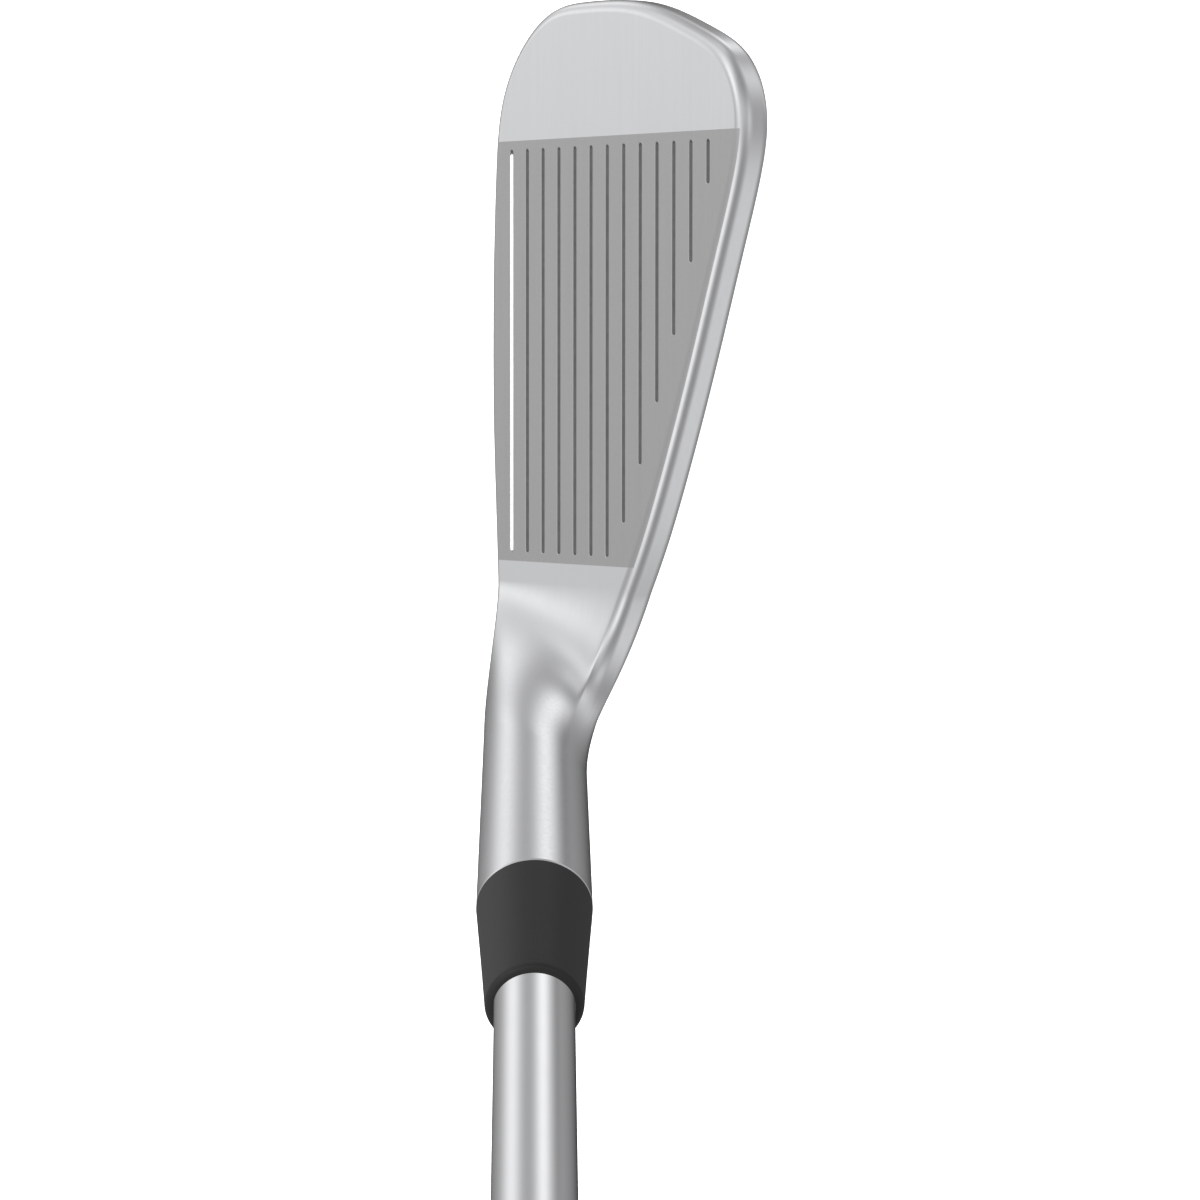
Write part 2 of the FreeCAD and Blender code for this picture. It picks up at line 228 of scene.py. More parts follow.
GROOVE_COUNT, GROOVE_PITCH = 13, 3.6
GROOVE_TOE = -24.6
GROOVE_HEELS = [25.45] * 7 + [21.2, 14.1, 6.6, -1.4, -10.0, -19.2]
GROOVE_STEPS = [(0.44, 0.0), (0.35, 0.06), (0.24, 0.42)]

# Material slots of the head: the forged chrome, and the score lines' darker colour, which is painted shade
# inside the grooves.
FORGED, GROOVE_PAINTED_SHADE = 0, 1


def wall_section():
    """Section of the toe and top line: front roll, plain wall, back roll."""
    wall = np.linspace(FRONT_ROLL, THICKNESS - BACK_ROLL, WALL_STEPS + 2)[1:-1]
    return np.vstack([
        arc((0, FRONT_ROLL), FRONT_ROLL, 0, 90, ROLL_STEPS),
        np.stack([np.full(WALL_STEPS, FRONT_ROLL), wall], 1),
        arc((FRONT_ROLL - BACK_ROLL, THICKNESS - BACK_ROLL), BACK_ROLL, 90, 180, BACK_STEPS),
    ])


def sole_section(trailing_y):
    """Section of the sole: leading-edge roll, cambered sole, trailing roll up to the muscle."""

    def local(y, z):
        up = (y - FACE_Y) * SIN_LOFT + (z - FACE_Z) * COS_LOFT
        return np.array([SOLE_FACE_FOOT - up, (y - FACE_Y) * COS_LOFT - (z - FACE_Z) * SIN_LOFT])

    def angle_of(v):
        return math.degrees(math.atan2(v[0], -v[1]))

    middle = local(0.0, SOLE_RADIUS)
    front_end = angle_of(np.array([0.0, FRONT_ROLL]) - middle)
    trailing_in = trailing_y - TRAILING_ROLL
    trailing_rise = SOLE_RADIUS - math.sqrt((SOLE_RADIUS - TRAILING_ROLL) ** 2 - trailing_in ** 2)
    trailing = local(trailing_in, trailing_rise)
    sole_end = angle_of(trailing - middle)
    knee = np.array([SOLE_FACE_FOOT - KNEE_UP, THICKNESS]) - trailing
    swing = math.degrees(math.asin(TRAILING_ROLL / np.linalg.norm(knee)) - math.atan2(knee[1], -knee[0]))
    return np.vstack([
        arc((0, FRONT_ROLL), FRONT_ROLL, 0, front_end, ROLL_STEPS),
        arc(middle, SOLE_RADIUS, front_end, sole_end, WALL_STEPS + 2)[1:-1],
        arc(trailing, TRAILING_ROLL, sole_end, 180 + swing, BACK_STEPS),
    ])


def muscle(up, foot_up, foot_deep):
    """Depth of the back at a height, given where the muscle starts at the sole."""
    rise = (foot_deep - THICKNESS) * (KNEE_UP - up) / (KNEE_UP - foot_up)
    return THICKNESS + np.logaddexp(0, rise / KNEE_SOFTNESS) * KNEE_SOFTNESS


edge = spline(FACE_EDGE, EDGE_COUNT)
along = unit(np.gradient(edge, axis=0))
outward = np.stack([-along[:, 1], along[:, 0]], 1)
if outward[EDGE_COUNT // 8, 1] < 0:
    outward = -outward
edge_length = lengths_along(edge)
low_edge = edge[:, 1] < LOW_EDGE
toe_low = edge_length[np.argmax((edge[:, 0] < 0) & (edge[:, 1] < SOLE_BEGINS_UP))]
sole_full = edge_length[np.argmax((edge[:, 0] > SOLE_FULL_X) & low_edge)]
sole_share = smoothstep((edge_length - toe_low) / (sole_full - toe_low))[:, None, None]
heel_share = (smoothstep((edge[:, 0] - NARROW_START) / NARROW_LENGTH) * low_edge)[:, None, None]
sole = sole_section(TRAILING_Y) * (1 - heel_share) + sole_section(TRAILING_HEEL_Y) * heel_share
section = wall_section() * (1 - sole_share) + sole * sole_share
rim_flat = edge[:, None, :] + outward[:, None, :] * section[:, :, :1]
rim_deep = section[:, :, 1]

# Heel end of the back, from the trailing foot up to the top line.
HEEL_STEPS = 30
share = np.linspace(0, 1, HEEL_STEPS + 2)[1:-1, None]
heel_flat = rim_flat[-1, -1] * (1 - share) + rim_flat[0, -1] * share
heel_foot = (rim_flat[-1, -1, 1], rim_deep[-1, -1])
heel_deep = muscle(heel_flat[:, 1], *heel_foot)

# Back of the head: straight rays from the rim in to the edge of the cavity.
outer_flat = np.vstack([rim_flat[:, -1], heel_flat])
foot_up = np.concatenate([rim_flat[:, -1, 1], np.full(HEEL_STEPS, heel_foot[0])])
foot_deep = np.concatenate([rim_deep[:, -1], np.full(HEEL_STEPS, heel_foot[1])])
foot_up = np.where(foot_deep < THICKNESS + 0.02, -10.0, foot_up)
cavity_fine = spline(CAVITY, 1440, closed=True)
fine_angle = np.unwrap(np.arctan2(*(cavity_fine - CAVITY_MIDDLE).T[::-1]))
outer_angle = np.unwrap(np.arctan2(*(outer_flat - CAVITY_MIDDLE).T[::-1]))
turns = np.arange(-2, 3) * 2 * math.pi
fine_all = np.concatenate([fine_angle + t for t in turns])
lapped = np.tile(cavity_fine, (len(turns), 1))
ray_end = np.stack([np.interp(outer_angle, fine_all, lapped[:, k]) for k in (0, 1)], 1)
RAY_STEPS = 15
ray_share = np.linspace(0, 1, RAY_STEPS)[None, :, None]
back_flat = outer_flat[:, None] * (1 - ray_share) + ray_end[:, None] * ray_share
back_deep = muscle(back_flat[..., 1], foot_up[:, None], foot_deep[:, None])
rim_gap = np.concatenate([rim_deep[:, -1], heel_deep]) - back_deep[:, 0]
back_deep += rim_gap[:, None] * (1 - ray_share[..., 0]) ** 4

# Cavity: a rolled lip, a short wall and a fillet down to the floor.
ray_along = unit(slopes(ray_end, 0, closed=True))
ray_in = np.stack([ray_along[:, 1], -ray_along[:, 0]], 1)
if np.dot(ray_in[0], CAVITY_MIDDLE - ray_end[0]) < 0:
    ray_in = -ray_in
lip_deep = back_deep[:, -1]
LIP, FILLET, DRAFT = 0.35, 0.45, 0.15
lip_angle = np.linspace(0, math.pi / 2, 6)[1:]
wall_angle = np.linspace(0, math.pi / 2, 6)
lip_in = LIP * np.sin(lip_angle)[None] + 0 * lip_deep[:, None]
lip_down = lip_deep[:, None] - LIP * (1 - np.cos(lip_angle))[None]
fillet_in = LIP + DRAFT + FILLET * (1 - np.cos(wall_angle))[None] + 0 * lip_deep[:, None]
fillet_down = CAVITY_FLOOR + FILLET * (1 - np.sin(wall_angle))[None] + 0 * lip_deep[:, None]
cavity_in = np.hstack([lip_in, fillet_in])
cavity_deep = np.hstack([lip_down, fillet_down])
cavity_flat = ray_end[:, None] + ray_in[:, None] * cavity_in[..., None]

all_flat = np.concatenate([back_flat, cavity_flat], 1)
all_deep = np.concatenate([back_deep, cavity_deep], 1)
back_points = on_face(all_flat[..., 0], all_flat[..., 1], all_deep)
rim_points = on_face(rim_flat[..., 0], rim_flat[..., 1], rim_deep)
joined = np.concatenate([rim_points, back_points[:EDGE_COUNT, 1:]], 1)
joined_normals = grid_normals(joined)
if joined_normals[EDGE_COUNT // 8, ROLL_STEPS + 3, 2] < 0:
    joined_normals = -joined_normals
rim_steps = rim_points.shape[1]
joined_normals[:, 0] = -FACE_IN
closed_points = np.concatenate([back_points, back_points[:1]], 0)
back_normals = grid_normals(closed_points)[:-1]
back_normals[0] = unit(np.cross(back_points[1] - back_points[-1], slopes(back_points, 1)[0]))
if back_normals[EDGE_COUNT // 8, 4] @ FACE_IN < 0:
    back_normals = -back_normals
back_normals[:EDGE_COUNT, 0] = joined_normals[:, rim_steps - 1]
back_normals[:, -1] = FACE_IN

head = Skin()
head.grid(rim_points, joined_normals[:, :rim_steps])
head.grid(np.swapaxes(back_points, 0, 1), np.swapaxes(back_normals, 0, 1), closed=True)
head.flat(back_points[:, -1], FACE_IN)


def stadium(x0, x1, up, half, steps=6):
    """A slot's outline: two long sides and round ends."""
    a = np.linspace(-math.pi / 2, math.pi / 2, steps)
    heel = np.stack([x1 + half * np.cos(a), up + half * np.sin(a)], 1)
    toe = np.stack([x0 - half * np.cos(a), up - half * np.sin(a)], 1)
    return np.vstack([heel, toe])


# The face: one flat with the score lines cut through it.
FACE_STEPS = 40
heel_line = np.linspace(edge[0], edge[-1], FACE_STEPS + 2)[1:-1]
loops = [np.vstack([edge, heel_line[::-1]])]
groove_ends = []
for i in range(GROOVE_COUNT):
    x0, x1 = GROOVE_TOE + GROOVE_STEPS[0][0], GROOVE_HEELS[i] - GROOVE_STEPS[0][0]
    groove_ends.append((x0, x1, i * GROOVE_PITCH))
    loops.append(stadium(x0, x1, i * GROOVE_PITCH, GROOVE_STEPS[0][0]))
flat_points, flat_loops = [], []
for loop in loops:
    flat_loops.append(list(range(len(flat_points), len(flat_points) + len(loop))))
    flat_points.extend(Vector((float(x), float(up))) for x, up in loop)
cut = delaunay_2d_cdt(flat_points, [], flat_loops, 1, 1e-6)
for ids, owners in zip(cut[2], cut[5]):
    if 0 in owners and len(owners) == 1:
        head.flat([on_face(cut[0][i][0], cut[0][i][1]) for i in ids], -FACE_IN)

# The inner walls and floor of each score line take the darker colour, which is painted shade in the groove.
for x0, x1, up in groove_ends:
    rings = [(stadium(x0, x1, up, half), deep) for half, deep in GROOVE_STEPS]
    bands = zip((FORGED, GROOVE_PAINTED_SHADE), rings, rings[1:])
    for cut_finish, (upper, upper_deep), (lower, lower_deep) in bands:
        top = on_face(upper[:, 0], upper[:, 1], upper_deep)
        bottom = on_face(lower[:, 0], lower[:, 1], lower_deep)
        spine = on_face(np.clip(upper[:, 0], x0, x1), up, upper_deep)
        out = unit(top - spine)
        run = np.linalg.norm(upper[0] - [x1, up]) - np.linalg.norm(lower[0] - [x1, up])
        tilt = unit(-out * (lower_deep - upper_deep) - FACE_IN * run)
        head.grid(np.stack([top, bottom]), np.stack([tilt, tilt]), closed=True, finish=cut_finish)
    head.flat(on_face(rings[-1][0][:, 0], rings[-1][0][:, 1], rings[-1][1]), -FACE_IN, GROOVE_PAINTED_SHADE)

# Neck: smooth curves from the heel end of the blade to the round hosel. Each curve leaves along the blade's
# own slope and arrives along the shaft axis, and the pulls say how far it holds each direction.
HOSEL_TOP, BORE_RADIUS, BORE_BOTTOM = 66.5, 4.66, 34.5
NECK_STEPS = 44
HOSEL_AT, HOSEL_RADIUS, HOSEL_TAPER = 38.4, 6.31, 0.0155
# Where the blade's corners arrive round the hosel, in degrees from the toe side toward the face: top line,
# upper and lower corner of the face, trailing edge of the sole, back of the top line, top line again.
TURN_KEYS = (-45.1, -39.9, 80.8, 244.7, 270.1, 314.9)
# How far up the shaft axis the neck reaches on each side of the hosel.
END_TOE, END_HEEL, END_BACK, END_FACE = 42.4, 28.0, 34.1, 23.8
PULL_TOP, PULL_SOLE, PULL_HOSEL = 49.0, 11.2, 30.5
TOP_LINE_SLOPE, SOLE_SLOPE = -0.61, 0.05
TURN_BLUR = 4.0
LEVEL_AT, LEVEL_SHARES, HOSEL_LEVELS = 48.0, (0.35, 0.7, 1.0), (54.0, 60.0, 66.2)


def hosel_radius(s):
    return HOSEL_RADIUS + HOSEL_TAPER * (s - HOSEL_AT)


def around(s, turn, radius):
    """A point beside the shaft axis; turn 0 is the toe side and 90 the face side, in degrees."""
    s, turn, radius = np.broadcast_arrays(np.asarray(s, float), turn, radius)
    t = np.radians(turn)[..., None]
    return SHAFT_FOOT + AXIS * s[..., None] + radius[..., None] * (TOEWARD * np.cos(t) - SIDE * np.sin(t))


def outward_at(turn):
    t = np.radians(np.asarray(turn, float))[..., None]
    return TOEWARD * np.cos(t) - SIDE * np.sin(t)


half_way = rim_steps // 2
face_line = on_face(heel_line[:, 0], heel_line[:, 1])
heel_points = on_face(heel_flat[:, 0], heel_flat[:, 1], heel_deep)
ring = np.vstack([rim_points[0, :half_way + 1][::-1], face_line, rim_points[-1], heel_points,
                  rim_points[0, half_way + 1:][::-1]])
ring_normals = np.vstack([
    joined_normals[0, :half_way + 1][::-1], np.tile(-FACE_IN, (FACE_STEPS, 1)),
    joined_normals[-1, :rim_steps], back_normals[EDGE_COUNT:, 0],
    joined_normals[0, half_way + 1:rim_steps][::-1],
])
counts = np.cumsum([0, half_way + 1, FACE_STEPS, rim_steps, HEEL_STEPS])
ring_length = lengths_along(np.vstack([ring, ring[:1]]))
whole, ring_at = ring_length[-1], ring_length[:-1]
keys_at = [0, ring_at[counts[1]], ring_at[counts[2]], ring_at[counts[3] - 1], ring_at[counts[4]], whole]
blur = np.linspace(-TURN_BLUR, TURN_BLUR, 9)
spots = ring_at[:, None] + blur[None]
laps = np.floor(spots / whole)
turn = (np.interp(spots - laps * whole, keys_at, TURN_KEYS) + 360 * laps).mean(1)
turn_rad = np.radians(turn)
neck_end = ((END_TOE + END_HEEL + END_BACK + END_FACE) / 4 + (END_FACE - END_BACK) / 2 * np.sin(turn_rad)
            + (END_TOE - END_HEEL) / 2 * np.cos(turn_rad))
ring_up = (ring[:, 1] - FACE_Y) * SIN_LOFT + (ring[:, 2] - FACE_Z) * COS_LOFT
ring_share = np.clip((ring_up + 3.0) / 30.5, 0, 1)
slope = SOLE_SLOPE + (TOP_LINE_SLOPE - SOLE_SLOPE) * ring_share
leave = unit(np.array([1.0, 0, 0]) + slope[:, None] * FACE_UP)
leave *= (PULL_SOLE + (PULL_TOP - PULL_SOLE) * ring_share)[:, None]
t = np.linspace(0, 1, NECK_STEPS)[:, None, None]
neck = (ring * (2 * t ** 3 - 3 * t ** 2 + 1) + leave * (t ** 3 - 2 * t ** 2 + t)
        + around(neck_end, turn, hosel_radius(neck_end)) * (3 * t ** 2 - 2 * t ** 3)
        + AXIS * PULL_HOSEL * (t ** 3 - t ** 2))
hosel_rows = [neck_end * (1 - share) + LEVEL_AT * share for share in LEVEL_SHARES]
hosel_rows += [np.full(len(ring), s) for s in HOSEL_LEVELS]
hosel = np.stack([around(s, turn, hosel_radius(s)) for s in hosel_rows])
hosel_top_radius = hosel_radius(HOSEL_TOP)
tube = np.concatenate([neck, hosel])
tube_normals = grid_normals(tube, closed=True)
if tube_normals[-1, 0] @ outward_at(turn[0]) < 0:
    tube_normals = -tube_normals
tube_normals[0] = ring_normals
tube_normals[NECK_STEPS:] = outward_at(turn) - AXIS * HOSEL_TAPER
head.grid(tube, tube_normals, closed=True)

EDGE_BREAK = 0.25
rim_out = around(HOSEL_TOP, turn, hosel_top_radius - EDGE_BREAK)
bore_top = around(HOSEL_TOP, turn, BORE_RADIUS + EDGE_BREAK)
bore_edge = around(HOSEL_TOP - EDGE_BREAK, turn, BORE_RADIUS)
bore_foot = around(BORE_BOTTOM, turn, BORE_RADIUS)
steep = unit(outward_at(turn) + AXIS)
head.grid(np.stack([hosel[-1], rim_out]), np.stack([steep, steep]), closed=True)
level = np.tile(AXIS, (len(turn), 1))
head.grid(np.stack([rim_out, bore_top]), np.stack([level, level]), closed=True)
inner_steep = unit(AXIS - outward_at(turn))
head.grid(np.stack([bore_top, bore_edge]), np.stack([inner_steep, inner_steep]), closed=True)
head.grid(np.stack([bore_edge, bore_foot]), np.stack([-outward_at(turn)] * 2), closed=True)
head.flat(bore_foot, AXIS)


# ---- materials -------------------------------------------------------------------------------
def finish(name):
    material = bpy.data.materials.new(name)
    material.use_nodes = True
    tree = material.node_tree
    return material, tree, tree.nodes["Principled BSDF"]


def link(tree, a, b):
    tree.links.new(a, b)


def maths(tree, operation, *values):
    node = tree.nodes.new("ShaderNodeMath")
    node.operation = operation
    for socket, value in zip(node.inputs, values):
        if hasattr(value, "links"):
            link(tree, value, socket)
        else:
            socket.default_value = value
    return node.outputs[0]


def vector_maths(tree, operation, a, b):
    node = tree.nodes.new("ShaderNodeVectorMath")
    node.operation = operation
    for socket, value in zip(node.inputs, (a, b)):
        if hasattr(value, "links"):
            link(tree, value, socket)
        else:
            socket.default_value = value
    return node.outputs["Value"] if operation == "DOT_PRODUCT" else node.outputs["Vector"]


def place(tree):
    return tree.nodes.new("ShaderNodeTexCoord").outputs["Object"]


def ramp(tree, value, low, high, out_low=0.0, out_high=1.0, smooth=True):
    node = tree.nodes.new("ShaderNodeMapRange")
    node.interpolation_type = "SMOOTHSTEP" if smooth else "LINEAR"
    link(tree, value, node.inputs["Value"])
    for socket, number in zip(("From Min", "From Max", "To Min", "To Max"), (low, high, out_low, out_high)):
        node.inputs[socket].default_value = number
    return node.outputs["Result"]


def noise(tree, scale, detail=3.0, stretch=(1, 1, 1), turned=(0, 0, 0)):
    mapping = tree.nodes.new("ShaderNodeMapping")
    link(tree, place(tree), mapping.inputs["Vector"])
    mapping.inputs["Scale"].default_value = stretch
    mapping.inputs["Rotation"].default_value = turned
    node = tree.nodes.new("ShaderNodeTexNoise")
    link(tree, mapping.outputs["Vector"], node.inputs["Vector"])
    node.inputs["Scale"].default_value = scale
    node.inputs["Detail"].default_value = detail
    return node.outputs["Fac"]


def blend_colour(tree, factor, a, b):
    node = tree.nodes.new("ShaderNodeMix")
    node.data_type = "RGBA"
    link(tree, factor, node.inputs["Factor"])
    node.inputs["A"].default_value = (*a, 1)
    node.inputs["B"].default_value = (*b, 1)
    return node.outputs["Result"]


def bump(tree, shader, height, distance, strength=1.0):
    node = tree.nodes.new("ShaderNodeBump")
    node.inputs["Strength"].default_value = strength
    node.inputs["Distance"].default_value = distance
    link(tree, height, node.inputs["Height"])
    link(tree, node.outputs["Normal"], shader.inputs["Normal"])


def grey(value):
    return (value, value, value)


def along_axis(tree, direction, origin=(0, 0, 0)):
    moved = vector_maths(tree, "SUBTRACT", place(tree), tuple(float(c) * MM for c in origin))
    return vector_maths(tree, "DOT_PRODUCT", moved, tuple(float(c) for c in direction))


ZONE_TOE, ZONE_HEEL, ZONE_DEEP = -25.6 * MM, 26.45 * MM, 0.27 * MM


def make_forged():
    """Satin chrome over forged steel, with the hitting area blasted matt."""
    material, tree, shader = finish("satin_chrome")
    x = along_axis(tree, (1, 0, 0))
    deep = along_axis(tree, FACE_IN, (0, FACE_Y, FACE_Z))
    zone = maths(tree, "MULTIPLY", ramp(tree, x, ZONE_TOE - 4e-5, ZONE_TOE + 4e-5),
                 ramp(tree, x, ZONE_HEEL - 4e-5, ZONE_HEEL + 4e-5, 1.0, 0.0))
    zone = maths(tree, "MULTIPLY", zone, ramp(tree, deep, ZONE_DEEP - 2e-5, ZONE_DEEP + 2e-5, 1.0, 0.0))
    cloud = noise(tree, 60.0, 4.0)
    grain = noise(tree, 9000.0, 2.0)
    lines = noise(tree, 2200.0, 2.0, (0.02, 1.0, 1.0))
    chrome = blend_colour(tree, cloud, (0.625, 0.63, 0.64), (0.655, 0.66, 0.67))
    node = tree.nodes.new("ShaderNodeMix")
    node.data_type = "RGBA"
    link(tree, zone, node.inputs["Factor"])
    link(tree, chrome, node.inputs["A"])
    link(tree, blend_colour(tree, grain, (0.41, 0.41, 0.415), (0.52, 0.52, 0.525)), node.inputs["B"])
    link(tree, node.outputs["Result"], shader.inputs["Base Color"])
    shader.inputs["Metallic"].default_value = 1.0
    rough = maths(tree, "ADD", ramp(tree, lines, 0.3, 0.7, 0.19, 0.23), maths(tree, "MULTIPLY", zone, 0.26))
    link(tree, rough, shader.inputs["Roughness"])
    line_depth = maths(tree, "SUBTRACT", 0.18, maths(tree, "MULTIPLY", zone, 0.18))
    blasting = maths(tree, "MULTIPLY", grain, zone)
    height = maths(tree, "ADD", blasting, maths(tree, "MULTIPLY", lines, line_depth))
    bump(tree, shader, height, 1.2e-5)
    return material


def make_groove_painted_shade():
    """Cut score line, painted darker than the chrome: painted shade standing in for the shade inside the
    groove.
    """
    material, tree, shader = finish("score_line_painted_shade")
    link(tree, blend_colour(tree, noise(tree, 900.0), grey(0.16), grey(0.24)), shader.inputs["Base Color"])
    shader.inputs["Metallic"].default_value = 1.0
    link(tree, ramp(tree, noise(tree, 4000.0), 0.3, 0.7, 0.34, 0.44), shader.inputs["Roughness"])
    return material


def turned_plastic(name, low, high, roughness, ring_scale):
    """Moulded or turned plastic with fine rings round the shaft axis."""
    material, tree, shader = finish(name)
    s = along_axis(tree, AXIS, SHAFT_FOOT)
    fine = tree.nodes.new("ShaderNodeTexNoise")
    fine.noise_dimensions = "1D"
    link(tree, s, fine.inputs["W"])
    fine.inputs["Scale"].default_value = ring_scale
    fine.inputs["Detail"].default_value = 4.0
    rings = fine.outputs["Fac"]
    colour = blend_colour(tree, ramp(tree, rings, 0.3, 0.7), grey(low), grey(high))
    link(tree, colour, shader.inputs["Base Color"])
    link(tree, ramp(tree, rings, 0.3, 0.7, roughness - 0.05, roughness + 0.05), shader.inputs["Roughness"])
    shader.inputs["Specular IOR Level"].default_value = 0.25
    bump(tree, shader, rings, 1.5e-5)
    return material


def chrome_tube():
    """Bright chrome with faint drawing lines and polish haze."""
    material, tree, shader = finish("bright_chrome")
    haze = noise(tree, 35.0, 3.0)
    colour = blend_colour(tree, haze, (0.66, 0.665, 0.675), (0.70, 0.705, 0.715))
    link(tree, colour, shader.inputs["Base Color"])
    shader.inputs["Metallic"].default_value = 1.0
    link(tree, ramp(tree, noise(tree, 300.0, 3.0), 0.3, 0.7, 0.09, 0.13), shader.inputs["Roughness"])
    bump(tree, shader, noise(tree, 1500.0, 2.0, (0.2, 1, 0.1), (0, -(math.pi / 2 - LIE), 0)), 1.5e-6)
    return material


def plain_grain(name, low, high, roughness, metallic=0.0, scale=900.0, depth=2e-5):
    """A surface with a fine even grain in colour, gloss and height."""
    material, tree, shader = finish(name)
    grain = noise(tree, scale, 4.0)
    link(tree, blend_colour(tree, ramp(tree, grain, 0.3, 0.7), low, high), shader.inputs["Base Color"])
    gloss = ramp(tree, noise(tree, scale * 0.3), 0.3, 0.7, roughness - 0.06, roughness + 0.06)
    link(tree, gloss, shader.inputs["Roughness"])
    shader.inputs["Metallic"].default_value = metallic
    bump(tree, shader, grain, depth)
    return material


forged = make_forged()
groove_painted_shade = make_groove_painted_shade()
ferrule_plastic = turned_plastic("ferrule_plastic", 0.012, 0.020, 0.5, 9000.0)
shaft_chrome = chrome_tube()
white_paint = plain_grain("groove_paint", grey(0.84), grey(0.88), 0.45, scale=3000.0, depth=5e-6)
tungsten = plain_grain("tungsten_plug", (0.20, 0.20, 0.21), (0.26, 0.26, 0.27), 0.36, 1.0, 1600.0, 8e-6)
damper_rubber = plain_grain("damper_rubber", grey(0.018), grey(0.03), 0.62, 0.0, 1400.0, 1.5e-5)
badge_metal = plain_grain("badge_metal", (0.42, 0.43, 0.45), (0.52, 0.53, 0.55), 0.3, 1.0, 500.0, 4e-6)
epoxy = plain_grain("cured_epoxy", (0.42, 0.36, 0.22), (0.5, 0.44, 0.28), 0.35, 0.0, 700.0, 2e-5)
brass = plain_grain("brass_plug", (0.62, 0.47, 0.2), (0.7, 0.54, 0.25), 0.35, 1.0, 900.0, 1e-5)
label_film = plain_grain("label_film", grey(0.05), grey(0.075), 0.28, 0.0, 300.0, 3e-6)
tape_paper = plain_grain("tape_paper", (0.72, 0.69, 0.6), (0.8, 0.77, 0.69), 0.8, 0.0, 1800.0, 3e-5)
grip_rubber = plain_grain("grip_rubber", grey(0.018), grey(0.032), 0.68, 0.0, 2200.0, 4e-5)
cap_rubber = plain_grain("cap_rubber", grey(0.02), grey(0.03), 0.6, 0.0, 1500.0, 2.5e-5)


# ---- turned and trimmed pieces ---------------------------------------------------------------
BUTT_RADIUS, SHAFT_BUTT = 7.62, 934.0
TIP_RADIUS, SHAFT_WALL, TIP_TAPER = 4.51, 0.45, 0.00305
FIRST_STEP, STEP_PITCH, STEP_COUNT, STEP_RISE = 240.0, 32.0, 12, 0.9
SMOOTH_TO = math.cos(math.radians(32))


def turned_piece(name, profile, material, segments=160, relief=None):
    """A closed section of (height, radius) points turned round the shaft; relief sinks the skin in places."""
    loop = np.array(profile, float)
    count = len(loop)
    legs = np.roll(loop, -1, 0) - loop
    facing = unit(np.stack([-legs[:, 1], legs[:, 0]], 1))
    before = np.roll(facing, 1, 0)
    soft = (np.sum(facing * before, 1) > SMOOTH_TO)[:, None]
    shared = unit(facing + before)
    starts = np.where(soft, shared, facing)
    ends = np.roll(np.where(soft, shared, before), -1, 0)
    turns = np.arange(segments) * 360.0 / segments
    radii = np.repeat(loop[:, 1:], segments, 1)
    if relief is not None:
        radii = radii - relief(loop[:, :1], turns[None])
    points = around(loop[:, :1], turns[None], radii)
    out = outward_at(turns)
    skin = Skin()
    for i in range(count):
        if np.linalg.norm(legs[i]) > 1e-6:
            normals = np.stack([AXIS * n[0] + out * n[1] for n in (starts[i], ends[i])])
            skin.grid(np.stack([points[i], points[(i + 1) % count]]), normals, closed=True)
    return skin.make(name, [material])


def corner_roll(height, radius, size, start, end, steps=6):
    """Rounded corner of a turned section; angles are from the outward direction toward the butt."""
    a = np.radians(np.linspace(start, end, steps))
    return [(height + size * math.sin(t), radius + size * math.cos(t)) for t in a]


def taper_radius(height):
    return TIP_RADIUS + (height - HOSEL_TOP) * TIP_TAPER


def adopt(piece, node):
    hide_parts(node)
    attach(piece, "root")
    return piece


# Ferrule: cone, waist and a rounded rim dished in to the shaft.
FERRULE_TOP, FERRULE_ROLL = 86.6, 0.8
ferrule_top_radius = taper_radius(FERRULE_TOP) + 0.02
adopt(turned_piece("turned_ferrule", [
    (HOSEL_TOP, 4.6), (HOSEL_TOP, 6.68), (HOSEL_TOP + 0.06, 6.745), (70.0, 6.54), (74.0, 6.305), (77.0, 6.13),
    (80.0, 5.96), (83.0, 5.80), *corner_roll(FERRULE_TOP - FERRULE_ROLL, 4.85, FERRULE_ROLL, 0, 105, 10),
    (FERRULE_TOP - 0.4, ferrule_top_radius + 0.04), (FERRULE_TOP - 0.9, ferrule_top_radius),
], ferrule_plastic), "ferrule")

# Shaft: plain taper from the tip, then a row of small steps up to the butt.
first_radius = taper_radius(FIRST_STEP)
growth = (BUTT_RADIUS - first_radius) / STEP_COUNT
outside = [(BORE_BOTTOM, TIP_RADIUS), (HOSEL_TOP, TIP_RADIUS)]
for step in range(STEP_COUNT):
    height = FIRST_STEP + step * STEP_PITCH
    low = first_radius + growth * step
    for share in np.linspace(0, 1, 6):
        outside.append((height + STEP_RISE * share, low + growth * float(smoothstep(share))))
outside.append((SHAFT_BUTT, BUTT_RADIUS))
inside = [(height, radius - SHAFT_WALL) for height, radius in reversed(outside)]
adopt(turned_piece("stepped_shaft", outside + inside, shaft_chrome), "shaft")

# Label band: a thin film with rolled edges.
BAND_START, BAND_END = 606.0, 658.0
BAND_SHOULDER, BAND_TOP = BUTT_RADIUS + 0.05, BUTT_RADIUS + 0.08
adopt(turned_piece("label_band", [
    (BAND_START, BUTT_RADIUS), (BAND_START + 0.02, BAND_SHOULDER), (BAND_START + 0.08, BAND_TOP),
    (BAND_END - 0.08, BAND_TOP), (BAND_END - 0.02, BAND_SHOULDER), (BAND_END, BUTT_RADIUS),
], label_film), "shaft_band")

